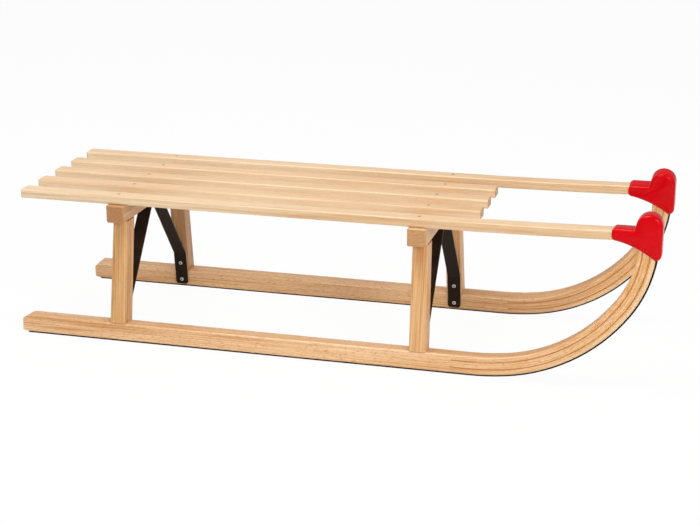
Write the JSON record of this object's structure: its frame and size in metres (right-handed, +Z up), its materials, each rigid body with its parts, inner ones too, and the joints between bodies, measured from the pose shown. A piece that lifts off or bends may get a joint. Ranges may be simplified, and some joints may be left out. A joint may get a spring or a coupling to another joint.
{
  "type": "wooden sled",
  "caption": "Long slatted wooden sled with bent laminated runners, splayed legs, steel corner straps and red plastic tip caps.",
  "frame": {"origin": "on the ground, below the middle of the sled's length and width", "axes": "+X forward to the curled runner tips, +Y to the sled's left, +Z up"},
  "size_m": [1.097, 0.3476, 0.2927],
  "materials": {
    "beech_slat": "satin clear lacquer on pale beech",
    "beech_runner": "satin clear lacquer on laminated beech",
    "beech_leg": "satin clear lacquer on beech",
    "beech_crossbar": "satin clear lacquer on beech, darker end grain",
    "dark_veneer": "thin glued veneer, dark glue lines",
    "black_steel": "satin black paint on flat steel",
    "sole_steel": "dark drawn steel strip",
    "red_plastic": "glossy red moulded plastic"
  },
  "bodies": {
    "root": {"runner_right": "beech_runner", "veneers_right": "dark_veneer", "shoe_right": "sole_steel", "leg_rear_right": "beech_leg", "leg_front_right": "beech_leg", "rail_right": "beech_slat", "cap_right": "red_plastic", "slat_right": "beech_slat", "runner_left": "beech_runner", "veneers_left": "dark_veneer", "shoe_left": "sole_steel", "leg_rear_left": "beech_leg", "leg_front_left": "beech_leg", "rail_left": "beech_slat", "cap_left": "red_plastic", "slat_left": "beech_slat", "slat_centre": "beech_slat", "crossbar_rear": "beech_crossbar", "strap_rear": "black_steel", "crossbar_front": "beech_crossbar", "strap_front": "black_steel"}
  },
  "joints": []
}
